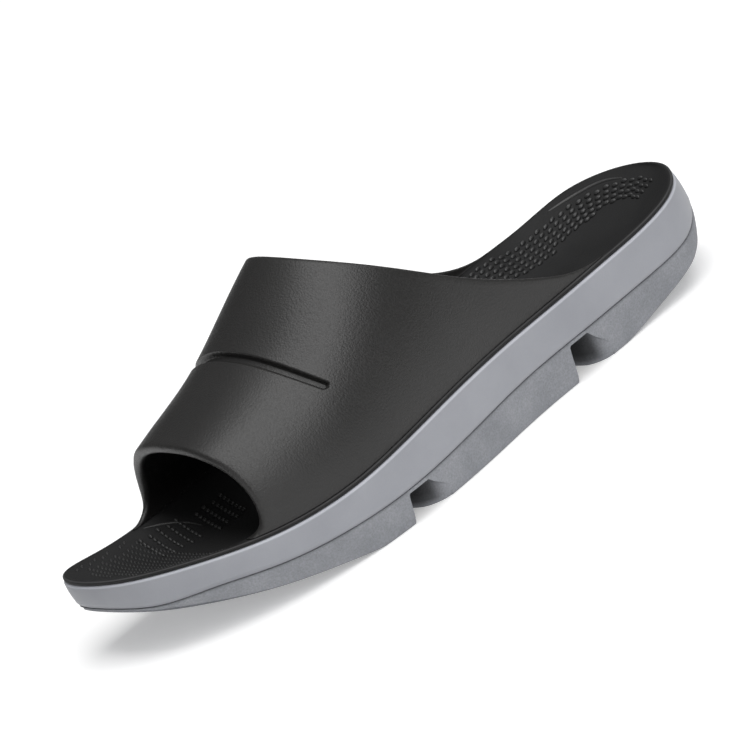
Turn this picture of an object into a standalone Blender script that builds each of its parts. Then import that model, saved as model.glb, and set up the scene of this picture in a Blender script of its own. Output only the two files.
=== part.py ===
"""Sport slide sandal, left foot: outsole with three pods, midsole band, footbed and one moulded strap.

Frame: +X to the toe, +Y to the outer side of the foot, +Z up, origin on the floor under the middle of the box.
Lengths are metres. Tables hold shares of the named sizes.
"""
import math

import bpy
import numpy as np

# Main sizes
LENGTH = 0.288
WIDTH = 0.1020
STACK = 0.0365
STRAP_RISE = 0.070

# Sole by share of the length, heel to toe. outer and inner are shares of WIDTH, the rest shares of STACK.
SOLE_COLUMNS = ("along", "outer", "inner", "top", "seam", "bottom")
SOLE = (
    (0.000, -0.049, -0.049, 0.980, 0.652, 0.500),
    (0.030, 0.171, -0.265, 0.989, 0.620, 0.392),
    (0.080, 0.292, -0.375, 0.959, 0.511, 0.254),
    (0.160, 0.319, -0.415, 0.879, 0.443, 0.100),
    (0.220, 0.331, -0.424, 0.861, 0.431, 0.012),
    (0.280, 0.350, -0.427, 0.852, 0.430, -0.020),
    (0.400, 0.386, -0.428, 0.842, 0.426, -0.020),
    (0.520, 0.457, -0.449, 0.836, 0.396, -0.020),
    (0.640, 0.499, -0.494, 0.760, 0.353, -0.016),
    (0.700, 0.500, -0.500, 0.718, 0.355, -0.012),
    (0.750, 0.484, -0.496, 0.701, 0.370, 0.052),
    (0.840, 0.412, -0.437, 0.729, 0.430, 0.192),
    (0.910, 0.289, -0.398, 0.794, 0.505, 0.328),
    (0.965, 0.133, -0.388, 0.850, 0.528, 0.463),
    (0.986, 0.029, -0.342, 0.869, 0.573, 0.530),
    (1.000, -0.186, -0.186, 0.877, 0.616, 0.582),
)
WALL_TAPER = 0.0022
PIECE_GAP = 0.0003
SEAM_CHAMFER = 0.0005
SOLE_EDGE = 0.0007

# Channels across the outsole: lower and upper edges at the middle of the sole, shares of LENGTH from the middle
CHANNEL_COLUMNS = ("low_back", "high_back", "high_front", "low_front", "ceiling", "slant", "corner")
CHANNELS = (
    (-0.2120, -0.2080, -0.1750, -0.1715, 0.0143, 0.0025, 0.0080),
    (0.1180, 0.1210, 0.1555, 0.1590, 0.0115, 0.0060, 0.0080),
)
CHANNEL_REACH = 0.020

# Flat spots of the heel pod and the front pod, shares of LENGTH from the middle
FLAT_SPOTS = (-0.2560, -0.2180, 0.1840, 0.2060)

# Footbed: dish depth and arch rise by share of the length, shares of STACK
BED_COLUMNS = ("along", "depth", "arch")
BED = (
    (0.000, 0.000, 0.000),
    (0.030, 0.120, 0.000),
    (0.080, 0.235, 0.000),
    (0.160, 0.300, 0.010),
    (0.280, 0.270, 0.080),
    (0.400, 0.200, 0.140),
    (0.520, 0.150, 0.110),
    (0.640, 0.150, 0.030),
    (0.750, 0.160, 0.000),
    (0.840, 0.160, 0.000),
    (0.910, 0.130, 0.000),
    (0.965, 0.075, 0.000),
    (1.000, 0.000, 0.000),
)
LIP_HEIGHT = 0.0015
LIP_INSET = 0.0005
HEEL_LEAN = 0.0016
TOE_TUCK = 0.0014
LIP_WIDTH = 0.0016
BED_THICKNESS = 0.0034
STRAP_SEAT = 0.0056

# Strap arch by share of the length. crest and rise are shares of STRAP_RISE, side is a share of WIDTH.
ARCH_COLUMNS = ("along", "rise", "crest_side", "outer_power", "inner_power")
ARCH = (
    (0.150, 1.500, -0.040, 2.00, 2.00),
    (0.300, 1.400, -0.040, 2.00, 2.00),
    (0.400, 1.270, -0.040, 2.00, 2.00),
    (0.500, 1.110, -0.040, 2.05, 2.00),
    (0.592, 0.939, -0.035, 2.15, 2.05),
    (0.714, 0.675, -0.020, 2.40, 2.10),
    (0.800, 0.559, 0.000, 2.60, 2.15),
    (0.860, 0.467, 0.010, 2.80, 2.20),
    (0.920, 0.390, 0.010, 2.80, 2.20),
)
STRAP_INSET = 0.0016
STRAP_WALL = 0.0046
STRAP_BASE_GAP = 0.0003

# Strap edges by share of the way round the arch, outer rim 0 to inner rim 1; shares of LENGTH from the middle
EDGE_COLUMNS = ("round", "throat", "groove", "toe")
EDGE = (
    (0.000, -0.285, 0.070, 0.356),
    (0.010, -0.226, 0.092, 0.340),
    (0.030, -0.183, 0.105, 0.335),
    (0.080, -0.108, 0.133, 0.332),
    (0.160, -0.029, 0.165, 0.333),
    (0.250, 0.029, 0.186, 0.336),
    (0.350, 0.067, 0.198, 0.339),
    (0.500, 0.085, 0.202, 0.338),
    (0.650, 0.067, 0.198, 0.332),
    (0.750, 0.029, 0.186, 0.324),
    (0.840, -0.029, 0.165, 0.318),
    (0.920, -0.108, 0.133, 0.316),
    (0.970, -0.183, 0.105, 0.321),
    (0.990, -0.226, 0.092, 0.333),
    (1.000, -0.285, 0.070, 0.352),
)
GROOVE_WIDTH = 0.0040
GROOVE_DEPTH = 0.0026
GROOVE_START = 0.177
GROOVE_END = 0.823
TAIL_WALL = 0.0026
INNER_WALL = 0.0024

# Mesh density
STATIONS = 40
ACROSS = 14
ROUND_STEPS = 46


def column(table, names, name):
    """Return one named column of a table as an array."""
    index = names.index(name)
    return np.array([row[index] for row in table])


def spline(knots, values, at):
    """Natural cubic spline through (knots, values), held straight past its ends."""
    knots = np.asarray(knots, float)
    values = np.asarray(values, float)
    count = len(knots)
    step = np.diff(knots)
    matrix = np.eye(count)
    right = np.zeros(count)
    for i in range(1, count - 1):
        matrix[i, i - 1] = step[i - 1]
        matrix[i, i] = 2.0 * (step[i - 1] + step[i])
        matrix[i, i + 1] = step[i]
        rise_after = (values[i + 1] - values[i]) / step[i]
        rise_before = (values[i] - values[i - 1]) / step[i - 1]
        right[i] = 6.0 * (rise_after - rise_before)
    bend = np.linalg.solve(matrix, right)
    at = np.clip(np.asarray(at, float), knots[0], knots[-1])
    i = np.clip(np.searchsorted(knots, at) - 1, 0, count - 2)
    h = step[i]
    a = (knots[i + 1] - at) / h
    b = 1.0 - a
    curve = (a ** 3 - a) * bend[i] + (b ** 3 - b) * bend[i + 1]
    return a * values[i] + b * values[i + 1] + curve * h * h / 6.0


def turn_of(along):
    """Angle round the sole, 0 at the heel and pi at the toe, for a share of the length."""
    return np.arccos(np.clip(1.0 - 2.0 * np.asarray(along, float), -1.0, 1.0))


def ring_spline(name_outer, name_inner, size, turn):
    """Closed smooth curve over angles 0..2 pi from an outer and an inner column of SOLE."""
    knots = turn_of(column(SOLE, SOLE_COLUMNS, "along"))
    outer = column(SOLE, SOLE_COLUMNS, name_outer) * size
    inner = column(SOLE, SOLE_COLUMNS, name_inner) * size
    ring_knots = np.concatenate([knots, 2.0 * math.pi - knots[-2:0:-1]])
    ring_values = np.concatenate([outer, inner[-2:0:-1]])
    full = 2.0 * math.pi
    long_knots = np.concatenate([ring_knots - full, ring_knots, ring_knots + full])
    long_values = np.concatenate([ring_values, ring_values, ring_values])
    return spline(long_knots, long_values, np.mod(turn, full))


def outline(turn, inset=0.0):
    """Sole outline at an angle, moved inwards by inset, as (x, y)."""
    turn = np.asarray(turn, float)
    nudge = 1e-3
    x = -0.5 * LENGTH * np.cos(turn)
    y = ring_spline("outer", "inner", WIDTH, turn)
    dx = 0.5 * LENGTH * np.sin(turn)
    dy = (ring_spline("outer", "inner", WIDTH, turn + nudge) -
          ring_spline("outer", "inner", WIDTH, turn - nudge)) / (2.0 * nudge)
    size = np.sqrt(dx * dx + dy * dy)
    return x + inset * dy / size, y - inset * dx / size


def level(name, x):
    """Height of a named line of the sole at a lengthwise place."""
    knots = turn_of(column(SOLE, SOLE_COLUMNS, "along"))
    ring_knots = np.concatenate([-knots[3:0:-1], knots, 2.0 * math.pi - knots[-2:-5:-1]])
    values = column(SOLE, SOLE_COLUMNS, name) * STACK
    ring_values = np.concatenate([values[3:0:-1], values, values[-2:-5:-1]])
    turn = turn_of(np.asarray(x, float) / LENGTH + 0.5)
    return spline(ring_knots, ring_values, turn)


def bed_value(name, x):
    """Footbed depth or arch rise at a lengthwise place."""
    knots = turn_of(column(BED, BED_COLUMNS, "along"))
    return spline(knots, column(BED, BED_COLUMNS, name) * STACK, turn_of(np.asarray(x) / LENGTH + 0.5))


def arch_value(name, x):
    """One named column of the strap's arch at a lengthwise place."""
    knots = column(ARCH, ARCH_COLUMNS, "along")
    return spline(knots, column(ARCH, ARCH_COLUMNS, name), np.asarray(x) / LENGTH + 0.5)


def climb(share):
    """Share of the way round, spread out near the two rims where the edges run fastest."""
    share = np.clip(np.asarray(share, float), 0.0, 1.0)
    return np.where(share < 0.5, 0.5 * np.sqrt(2.0 * share), 1.0 - 0.5 * np.sqrt(2.0 * (1.0 - share)))


def edge_value(name, share):
    """Lengthwise place of a strap edge or of the groove, at a share of the way round."""
    knots = climb(column(EDGE, EDGE_COLUMNS, "round"))
    return spline(knots, column(EDGE, EDGE_COLUMNS, name) * LENGTH, climb(share))


def smooth_ramp(value):
    """0 to 1 with level ends."""
    value = np.clip(value, 0.0, 1.0)
    return value * value * (3.0 - 2.0 * value)


def floor_level(x):
    """Height of the outsole's underside without its channels; 0 where it stands."""
    return np.maximum(level("bottom", x), 0.0)


def channel_shift(x, side, half):
    """How far the channel edges lie ahead of their place: slant in the middle, drawn back at the rear corners."""
    shift = np.zeros(np.broadcast(x, side).shape)
    for row in CHANNELS:
        places = np.array(row[:4]) * LENGTH
        slant, corner = row[5:]
        ends = [places[0] - CHANNEL_REACH, *places, places[3] + CHANNEL_REACH]
        reach = np.clip((side * half - (half - corner)) / corner, 0.0, 1.0)
        recede = corner * (1.0 - np.sqrt(1.0 - 0.999 * reach ** 2))
        shift = shift + slant * (1.0 - side ** 2) * np.interp(x, ends, [0.0, 1.0, 1.0, 1.0, 1.0, 0.0])
        shift = shift - recede * np.interp(x, ends, [0.0, 1.0, 1.0, 0.0, 0.0, 0.0])
    return shift


def channel_height(x):
    """Height that the channels raise the underside to at a lengthwise place, 0 outside them."""
    lift = np.zeros(np.shape(x))
    for row in CHANNELS:
        places = np.array(row[:4]) * LENGTH
        lift = np.maximum(lift, np.interp(x, places, [0.0, row[4], row[4], 0.0]))
    return lift


def wall_inset(x, z):
    """How far the outsole's side has drawn in at a height below the seam."""
    seam = level("seam", x)
    share = np.clip((seam - z) / np.maximum(seam - floor_level(x), 1e-4), 0.0, 1.0)
    return WALL_TAPER * share ** 1.6


def station_turns(count):
    """Angles of the cross sections, with extra ones at the channel walls."""
    turns = list(np.linspace(0.0, math.pi, count))
    for row in CHANNELS:
        for value in row[:4]:
            turns.append(float(turn_of(value + 0.5)))
        span = row[3] - row[0]
        for share in (-0.62, -0.42, -0.22, 0.5, 1.25):
            turns.append(float(turn_of(row[0] + share * span + 0.5)))
    fixed = [float(turn_of(value + 0.5)) for row in CHANNELS for value in row[:4]]
    fixed += [float(turn_of(value + 0.5)) for value in FLAT_SPOTS]
    turns = np.array(sorted(turns + fixed[-len(FLAT_SPOTS):]))
    keep = [0]
    for i in range(1, len(turns)):
        close = turns[i] - turns[keep[-1]] < 0.018
        if close and min(abs(turns[i] - value) for value in fixed) > 1e-9:
            continue
        if close and min(abs(turns[keep[-1]] - value) for value in fixed) > 1e-9 and keep[-1] != 0:
            keep[-1] = i
            continue
        keep.append(i)
    keep[-1] = len(turns) - 1
    return turns[keep]


def heel_lean(turns):
    """How far the top of the sole's wall leans in round the back of the heel."""
    return HEEL_LEAN * (1.0 - smooth_ramp(np.abs(turns) / 0.75))


def toe_tuck(turns):
    """How far the bottom of the sole's wall draws in under the tip of the toe."""
    return TOE_TUCK * (1.0 - smooth_ramp((math.pi - np.abs(turns)) / 0.75))


def ring_rows(turns, inset, height, lean=0.0):
    """Outer and inner points of one level of a sole piece: arrays (stations, 3)."""
    sides = []
    for sign in (1.0, -1.0):
        x, y = outline(sign * turns, inset + lean * heel_lean(turns) + (1.0 - lean) * toe_tuck(turns))
        sides.append(np.column_stack([x, y, np.broadcast_to(height(x, y), x.shape)]))
    return sides


def across(outer, inner, count, height):
    """Points between two edges at each station, ends left out, with heights from a function."""
    rows = []
    for k in range(1, count):
        share = k / count
        flat = outer[:, :2] * (1.0 - share) + inner[:, :2] * share
        side = 1.0 - 2.0 * share
        z = height(flat[:, 0], flat[:, 1], side)
        rows.append(np.column_stack([flat, z]))
    return rows


def skin_rings(rows):
    """Closed mesh from rings of points, each array (stations, 3), in order round the section."""
    grid = np.stack(rows, axis=1)
    stations, around = grid.shape[:2]
    vertices = grid.reshape(-1, 3)
    faces = []
    for i in range(stations - 1):
        for j in range(around):
            k = (j + 1) % around
            faces.append((i * around + j, i * around + k, (i + 1) * around + k, (i + 1) * around + j))
    return vertices, faces


def make_object(name, vertices, faces):
    """Mesh object from points and faces, doubles merged and faces turned outwards."""
    mesh = bpy.data.meshes.new(name)
    mesh.from_pydata([tuple(map(float, v)) for v in vertices], [], faces)
    mesh.update()
    item = bpy.data.objects.new(name, mesh)
    bpy.context.scene.collection.objects.link(item)
    bpy.context.view_layer.objects.active = item
    item.select_set(True)
    bpy.ops.object.mode_set(mode="EDIT")
    bpy.ops.mesh.select_all(action="SELECT")
    bpy.ops.mesh.remove_doubles(threshold=0.00002)
    bpy.ops.mesh.dissolve_degenerate(threshold=0.00001)
    bpy.ops.mesh.select_all(action="SELECT")
    bpy.ops.mesh.normals_make_consistent(inside=False)
    bpy.ops.object.mode_set(mode="OBJECT")
    item.select_set(False)
    return item


def outsole():
    """Outsole: cross sections from the seam down a tapered wall, across the underside and its channels, and back."""
    turns = station_turns(STATIONS)
    at_end = (turns < 0.05) | (turns > math.pi - 0.05)
    x0 = -0.5 * LENGTH * np.cos(turns)
    foot = WALL_TAPER + SOLE_EDGE
    half = np.maximum(0.5 * (outline(turns, foot)[1] - outline(-turns, foot)[1]), 0.0001)
    drop_x = x0 + channel_shift(x0, np.ones(len(x0)), half)
    low = np.maximum(floor_level(drop_x), channel_height(x0))
    tuck = toe_tuck(turns)
    walls = []
    for sign in (1.0, -1.0):
        x, y = outline(sign * turns, tuck + SEAM_CHAMFER)
        rows = [np.column_stack([x, y, level("seam", x) - 0.5 * PIECE_GAP])]
        x, y = outline(sign * turns, tuck)
        start = level("seam", x) - 0.5 * PIECE_GAP - SEAM_CHAMFER
        edge = SOLE_EDGE * (1.0 - 0.6 * smooth_ramp(channel_height(x0) / 0.003))
        edge = np.minimum(edge, 0.4 * (start - low))
        rows.append(np.column_stack([x, y, start]))
        for share in (0.4, 0.7, 1.0):
            z = start + (low + edge - start) * share
            place = x0 + (drop_x - x0) * smooth_ramp(1.25 * share)
            turn = sign * np.where(at_end, turns, turn_of(place / LENGTH + 0.5))
            inset = tuck + wall_inset(x0, z)
            x, y = outline(turn, inset)
            rows.append(np.column_stack([x, y, z]))
        x, y = outline(turn, inset + edge)
        rows.append(np.column_stack([x, y, low]))
        walls.append(rows)
    outer_foot, inner_foot = walls[0][-1], walls[1][-1]
    middle = 0.5 * (outer_foot[:, 1] + inner_foot[:, 1])
    reach = 0.5 * (outer_foot[:, 1] - inner_foot[:, 1])
    back = 0.5 * (outer_foot[:, 0] + inner_foot[:, 0]) - drop_x
    bottom = []
    for step in range(1, ACROSS):
        side = math.cos(math.pi * step / ACROSS)
        x = x0 + channel_shift(x0, abs(side) * np.ones(len(x0)), half) + back
        z = np.maximum(floor_level(x), channel_height(x0))
        bottom.append(np.column_stack([x, middle + reach * side, z]))
    cover = [walls[1][0] * (1.0 - share) + walls[0][0] * share for share in (0.25, 0.5, 0.75)]
    vertices, faces = skin_rings([*walls[0], *bottom, *walls[1][::-1], *cover])
    return make_object("outsole", vertices, faces)


def bed_dish(x, side):
    """Drop of the footbed below its rim; side runs 1 at the outer lip to -1 at the inner one."""
    bowl = (1.0 - np.abs(side) ** 2.4) ** 1.15
    rise = bed_value("arch", x) * smooth_ramp(-0.2 - 1.1 * side) * (1.0 - np.abs(side) ** 6)
    return bed_value("depth", x) * bowl - rise * 0.9


def seat_width(turns, sign):
    """Width of the flat rim that the strap stands on, narrow in the open heel and toe."""
    x = -0.5 * LENGTH * np.cos(turns)
    ends = edge_value("throat", np.array([0.0 if sign > 0 else 1.0]))[0]
    toe = edge_value("toe", np.array([0.0 if sign > 0 else 1.0]))[0]
    inside = smooth_ramp((x - ends + 0.006) / 0.010) * smooth_ramp((toe + 0.006 - x) / 0.006)
    return LIP_WIDTH + (STRAP_SEAT - LIP_WIDTH) * inside


def rim_level(x):
    """Top of the footbed's lip, where the strap stands."""
    return level("top", x) + LIP_HEIGHT


def footbed_rows(turns, inset_more=0.0, drop=0.0):
    """Lip and bowl rows shared by the footbed's two faces and the midsole's top."""
    sides = []
    for sign in (1.0, -1.0):
        inset = LIP_INSET + seat_width(turns, sign) + inset_more + heel_lean(turns)
        x, y = outline(sign * turns, inset)
        sides.append(np.column_stack([x, y, rim_level(x) - drop]))
    return sides


def footbed():
    """Footbed: a thin lip round the rim and a dished bed with a raised inner arch."""
    turns = np.linspace(0.0, math.pi, STATIONS + 12)
    outer_edge = ring_rows(turns, LIP_INSET, lambda x, y: level("top", x) + PIECE_GAP, 1.0)
    top_edge = ring_rows(turns, LIP_INSET, lambda x, y: rim_level(x) - 0.0003, 1.0)
    crown = ring_rows(turns, LIP_INSET + 0.0004, lambda x, y: rim_level(x), 1.0)
    seat = footbed_rows(turns)
    bowl = across(seat[0], seat[1], 16, lambda x, y, side: rim_level(x) - bed_dish(x, side))
    low = footbed_rows(turns, 0.0006, LIP_HEIGHT - PIECE_GAP)
    under = across(low[1], low[0], 12,
                   lambda x, y, side: rim_level(x) - bed_dish(x, -side) - BED_THICKNESS * bed_fade(x, side))
    rings = [outer_edge[0], top_edge[0], crown[0], seat[0], *bowl, seat[1], crown[1], top_edge[1],
             outer_edge[1], low[1], *under, low[0]]
    vertices, faces = skin_rings(rings)
    return make_object("footbed", vertices, faces)


def bed_fade(x, side):
    """Footbed thickness share across the bed: thin at the lip, full in the bowl."""
    thin = (LIP_HEIGHT - PIECE_GAP) / BED_THICKNESS
    return thin + (1.0 - thin) * smooth_ramp((1.0 - np.abs(side)) * 4.0)


def midsole():
    """Midsole: smooth band from the seam to its rounded top edge, dished to carry the footbed."""
    turns = np.linspace(0.0, math.pi, STATIONS + 12)
    base = ring_rows(turns, SEAM_CHAMFER, lambda x, y: level("seam", x) + 0.5 * PIECE_GAP)
    foot = ring_rows(turns, 0.0, lambda x, y: level("seam", x) + 0.5 * PIECE_GAP + SEAM_CHAMFER)
    waist = ring_rows(turns, -0.0003, lambda x, y: 0.5 * (level("seam", x) + level("top", x)), 0.4)
    brow = ring_rows(turns, 0.0003, lambda x, y: level("top", x) - 0.0010, 0.92)
    crown = ring_rows(turns, LIP_INSET, lambda x, y: level("top", x), 1.0)
    low = footbed_rows(turns, 0.0006, LIP_HEIGHT)
    dish = across(low[0], low[1], 12,
                  lambda x, y, side: rim_level(x) - bed_dish(x, side) - PIECE_GAP
                  - BED_THICKNESS * bed_fade(x, side))
    under = across(base[1], base[0], 4, lambda x, y, side: level("seam", x) + 0.5 * PIECE_GAP)
    rings = [base[0], foot[0], waist[0], brow[0], crown[0], low[0], *dish, low[1], crown[1], brow[1],
             waist[1], foot[1], base[1], *under]
    vertices, faces = skin_rings(rings)
    return make_object("midsole", vertices, faces)


def arch_point(x, share):
    """Outer surface of the strap's last: arch from the outer rim over the crest to the inner rim."""
    x, share = np.broadcast_arrays(np.asarray(x, float), np.asarray(share, float))
    turn = turn_of(x / LENGTH + 0.5)
    outer = outline(turn, STRAP_INSET)[1]
    inner = outline(-turn, STRAP_INSET)[1]
    crest = arch_value("crest_side", x) * WIDTH
    rise = arch_value("rise", x) * STRAP_RISE
    on_outer = share < 0.5
    power = np.where(on_outer, arch_value("outer_power", x), arch_value("inner_power", x))
    reach = np.where(on_outer, outer - crest, inner - crest)
    angle = math.pi * share
    y = crest + reach * np.abs(np.cos(angle)) ** (2.0 / power)
    z = rim_level(x) + STRAP_BASE_GAP + rise * np.abs(np.sin(angle)) ** (2.0 / power)
    return np.stack([x, y, z], axis=-1)


def arch_normal(x, share):
    """Outward direction of the arch surface."""
    nudge = 0.0004
    step = 0.003
    along = arch_point(x + nudge, share) - arch_point(x - nudge, share)
    low = np.clip(share - step, 0.0, 1.0)
    high = np.clip(share + step, 0.0, 1.0)
    over = arch_point(x, high) - arch_point(x, low)
    normal = np.cross(over, along)
    return normal / np.linalg.norm(normal, axis=-1, keepdims=True)


def strap_columns():
    """Places along the strap: (edge name, other edge name, share, offset) from throat to toe."""
    half = 0.5 * GROOVE_WIDTH
    places = [("throat", "groove", k / 7.0, -half * k / 7.0) for k in range(8)]
    places += [("groove", "groove", 0.0, -half * 0.55), ("groove", "groove", 0.0, half * 0.55)]
    places += [("groove", "toe", k / 5.0, half * (1.0 - k / 5.0)) for k in range(6)]
    return places


def groove_depth(share):
    """Depth of the groove at a share of the way round: it ends short of both rims."""
    start = smooth_ramp((share - GROOVE_START) / 0.02)
    finish = smooth_ramp((GROOVE_END - share) / 0.02)
    return GROOVE_DEPTH * start * finish


def strap_wall(x, share):
    """Wall thickness: full over the foot, thinner in the tails along the rim."""
    rim = np.minimum(share, 1.0 - share)
    throat = edge_value("throat", share)
    tail = smooth_ramp((x - throat) / 0.030)
    low = 1.0 - smooth_ramp(rim / 0.10)
    inner = 1.0 - smooth_ramp((1.0 - share) / 0.12)
    full = STRAP_WALL - (STRAP_WALL - INNER_WALL) * inner
    return full - (full - np.minimum(full, TAIL_WALL)) * low * (1.0 - tail)


def upper():
    """Strap: one arched wall from rim to rim, open at the throat, at the toe and underneath."""
    even = np.linspace(-1.0, 1.0, ROUND_STEPS)
    share = 0.5 + 0.5 * np.sign(even) * (1.0 - (1.0 - np.abs(even)) ** 1.7)
    outer_rows = []
    inner_rows = []
    for index, (first, second, part, shift) in enumerate(strap_columns()):
        x = edge_value(first, share) * (1.0 - part) + edge_value(second, share) * part + shift
        skin = arch_point(x, share)
        normal = arch_normal(x, share)
        normal[0] = (0.0, 1.0, 0.0)
        normal[-1] = (0.0, -1.0, 0.0)
        wall = strap_wall(x, share)[:, None]
        sunk = np.zeros(len(share))
        if first == second:
            sunk = groove_depth(share)
        outer_rows.append(skin - normal * sunk[:, None])
        inner_rows.append(skin - normal * wall)
    throat_mid = 0.5 * (outer_rows[0] + inner_rows[0])
    toe_mid = 0.5 * (outer_rows[-1] + inner_rows[-1])
    throat_mid[:, 0] -= 0.0010
    toe_mid[:, 0] += 0.0012
    rings = [*outer_rows, toe_mid, *inner_rows[::-1], throat_mid]
    vertices, faces = skin_rings(rings)
    around = len(rings)
    count = len(share)
    width = len(outer_rows)
    for row in (0, count - 1):
        start = row * around
        for j in range(width - 1):
            near = start + j
            far = start + around - 2 - j
            faces.append((near, near + 1, far - 1, far))
        faces.append((start, start + around - 2, start + around - 1))
        faces.append((start + width - 1, start + width, start + width + 1))
    return make_object("upper", vertices, faces)


def clear_scene():
    """Empty the file of its default objects."""
    for item in list(bpy.data.objects):
        bpy.data.objects.remove(item, do_unlink=True)


clear_scene()
outsole()
midsole()
footbed()
upper()
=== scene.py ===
"""Sport slide sandal, left foot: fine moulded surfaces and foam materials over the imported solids.

Frame: +X to the toe, +Y to the outer side of the foot, +Z up, origin on the floor under the sole's middle.
Lengths are metres and angles radians. Tables hold shares of the named sizes and repeat the source's.
"""

import math

import bmesh
import bpy
import numpy as np
from mathutils import Matrix


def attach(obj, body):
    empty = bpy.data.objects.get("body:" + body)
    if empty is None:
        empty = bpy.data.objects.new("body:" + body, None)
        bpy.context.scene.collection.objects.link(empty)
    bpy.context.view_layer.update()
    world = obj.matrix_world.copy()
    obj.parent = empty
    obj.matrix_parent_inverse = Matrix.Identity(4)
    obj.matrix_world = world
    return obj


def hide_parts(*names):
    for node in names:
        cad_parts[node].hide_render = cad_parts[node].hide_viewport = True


# Main sizes
LENGTH = 0.288
WIDTH = 0.1020
STACK = 0.0365
STRAP_RISE = 0.070

# Sole by share of the length, heel to toe. outer and inner are shares of WIDTH, the rest shares of STACK.
SOLE_COLUMNS = ("along", "outer", "inner", "top", "seam", "bottom")
SOLE = (
    (0.000, -0.049, -0.049, 0.980, 0.652, 0.500),
    (0.030, 0.171, -0.265, 0.989, 0.620, 0.392),
    (0.080, 0.292, -0.375, 0.959, 0.511, 0.254),
    (0.160, 0.319, -0.415, 0.879, 0.443, 0.100),
    (0.220, 0.331, -0.424, 0.861, 0.431, 0.012),
    (0.280, 0.350, -0.427, 0.852, 0.430, -0.020),
    (0.400, 0.386, -0.428, 0.842, 0.426, -0.020),
    (0.520, 0.457, -0.449, 0.836, 0.396, -0.020),
    (0.640, 0.499, -0.494, 0.760, 0.353, -0.016),
    (0.700, 0.500, -0.500, 0.718, 0.355, -0.012),
    (0.750, 0.484, -0.496, 0.701, 0.370, 0.052),
    (0.840, 0.412, -0.437, 0.729, 0.430, 0.192),
    (0.910, 0.289, -0.398, 0.794, 0.505, 0.328),
    (0.965, 0.133, -0.388, 0.850, 0.528, 0.463),
    (0.986, 0.029, -0.342, 0.869, 0.573, 0.530),
    (1.000, -0.186, -0.186, 0.877, 0.616, 0.582),
)

# Walls and edges of the sole: metres, but for a power (TAPER_POWER), shares (WALL_LEAN, DROP_PACE, EDGE_SHARE)
# and angles from the ends (END_ARC, END_TURN)
WALL_TAPER = 0.0022
TAPER_POWER = 1.6
PIECE_GAP = 0.0003
SOLE_EDGE = 0.0007
SEAM_ROUND = 0.0011
SEAM_DEPTH = 0.0007
SEAM_GAP = 0.0001
SEAM_INSET = 0.0003
CROWN_ROUND = 0.0012
CROWN_INSET = 0.0001
WALL_BULGE = 0.0003
WALL_LEAN = 0.95
HEEL_LEAN = 0.0016
TOE_TUCK = 0.0014
END_ARC = 0.75
END_TURN = 0.05
DROP_PACE = 1.25
EDGE_SHARE = 0.4
BASE_STEP = 0.0004

# Colour scales of painted light and shade: painted highlights lighten rounded edges that catch the light and
# the groove's toe side, and painted shade darkens the seam, the channels and the groove's floor. The channel
# and groove shade are taken from 1 at the deepest place, and the groove's highlight is added half-way up its
# toe side.
LIP_PAINTED_HIGHLIGHT = 3.2
CROWN_PAINTED_HIGHLIGHT = 1.55
SEAM_PAINTED_SHADE = 0.60
CHANNEL_PAINTED_SHADE = 0.84
GROOVE_PAINTED_SHADE = 0.25
GROOVE_PAINTED_HIGHLIGHT = 1.6
STRAP_EDGE_PAINTED_HIGHLIGHT = 1.25

# Channels across the outsole: edges as shares of LENGTH from the middle; ceiling, slant and corner in metres
CHANNEL_COLUMNS = ("low_back", "high_back", "high_front", "low_front", "ceiling", "slant", "corner")
CHANNELS = (
    (-0.2120, -0.2080, -0.1750, -0.1715, 0.0143, 0.0025, 0.0080),
    (0.1180, 0.1210, 0.1555, 0.1590, 0.0115, 0.0060, 0.0080),
)
CHANNEL_REACH = 0.020
CHANNEL_BLUR = 0.0004
CHANNEL_EDGE_FADE = 0.0015
CHANNEL_SHADE_RISE = 0.0035
CHANNEL_SHADE_REACH = 0.0036
CHANNEL_SHADE_START = 0.0004
CHANNEL_EDGE_CUT = 0.96
CHANNEL_SHARP = 0.9

# Footbed: dish depth and arch rise by share of the length, shares of STACK
BED_COLUMNS = ("along", "depth", "arch")
BED = (
    (0.000, 0.000, 0.000),
    (0.030, 0.120, 0.000),
    (0.080, 0.235, 0.000),
    (0.160, 0.300, 0.010),
    (0.280, 0.270, 0.080),
    (0.400, 0.200, 0.140),
    (0.520, 0.150, 0.110),
    (0.640, 0.150, 0.030),
    (0.750, 0.160, 0.000),
    (0.840, 0.160, 0.000),
    (0.910, 0.130, 0.000),
    (0.965, 0.075, 0.000),
    (1.000, 0.000, 0.000),
)
BOWL_POWER = 2.4
BOWL_ROUND = 1.15
ARCH_START = 0.2
ARCH_SPREAD = 1.1
ARCH_END_POWER = 6
ARCH_SHARE = 0.9
LIP_HEIGHT = 0.0015
LIP_INSET = 0.0005
LIP_WIDTH = 0.0016
LIP_ROUND = 0.0006
BED_THICKNESS = 0.0034
BED_STEP = 0.0006
UNDER_POWER = 4
STRAP_SEAT = 0.0056
SEAT_LEAD = 0.006
SEAT_FADE = 0.010

# Middle line that the closed surfaces of the sole shrink to, by its distance from heel and toe
SPINE_HEEL = 0.036
SPINE_TOE = 0.050

# Strap arch by share of the length. rise is a share of STRAP_RISE, crest_side a share of WIDTH.
ARCH_COLUMNS = ("along", "rise", "crest_side", "outer_power", "inner_power")
ARCH = (
    (0.150, 1.500, -0.040, 2.00, 2.00),
    (0.300, 1.400, -0.040, 2.00, 2.00),
    (0.400, 1.270, -0.040, 2.00, 2.00),
    (0.500, 1.110, -0.040, 2.05, 2.00),
    (0.592, 0.939, -0.035, 2.15, 2.05),
    (0.714, 0.675, -0.020, 2.40, 2.10),
    (0.800, 0.559, 0.000, 2.60, 2.15),
    (0.860, 0.467, 0.010, 2.80, 2.20),
    (0.920, 0.390, 0.010, 2.80, 2.20),
)
BLEND_START = 0.44
BLEND_WIDTH = 0.12
STRAP_INSET = 0.0016
STRAP_WALL = 0.0046
STRAP_BASE_GAP = 0.0003

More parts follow.
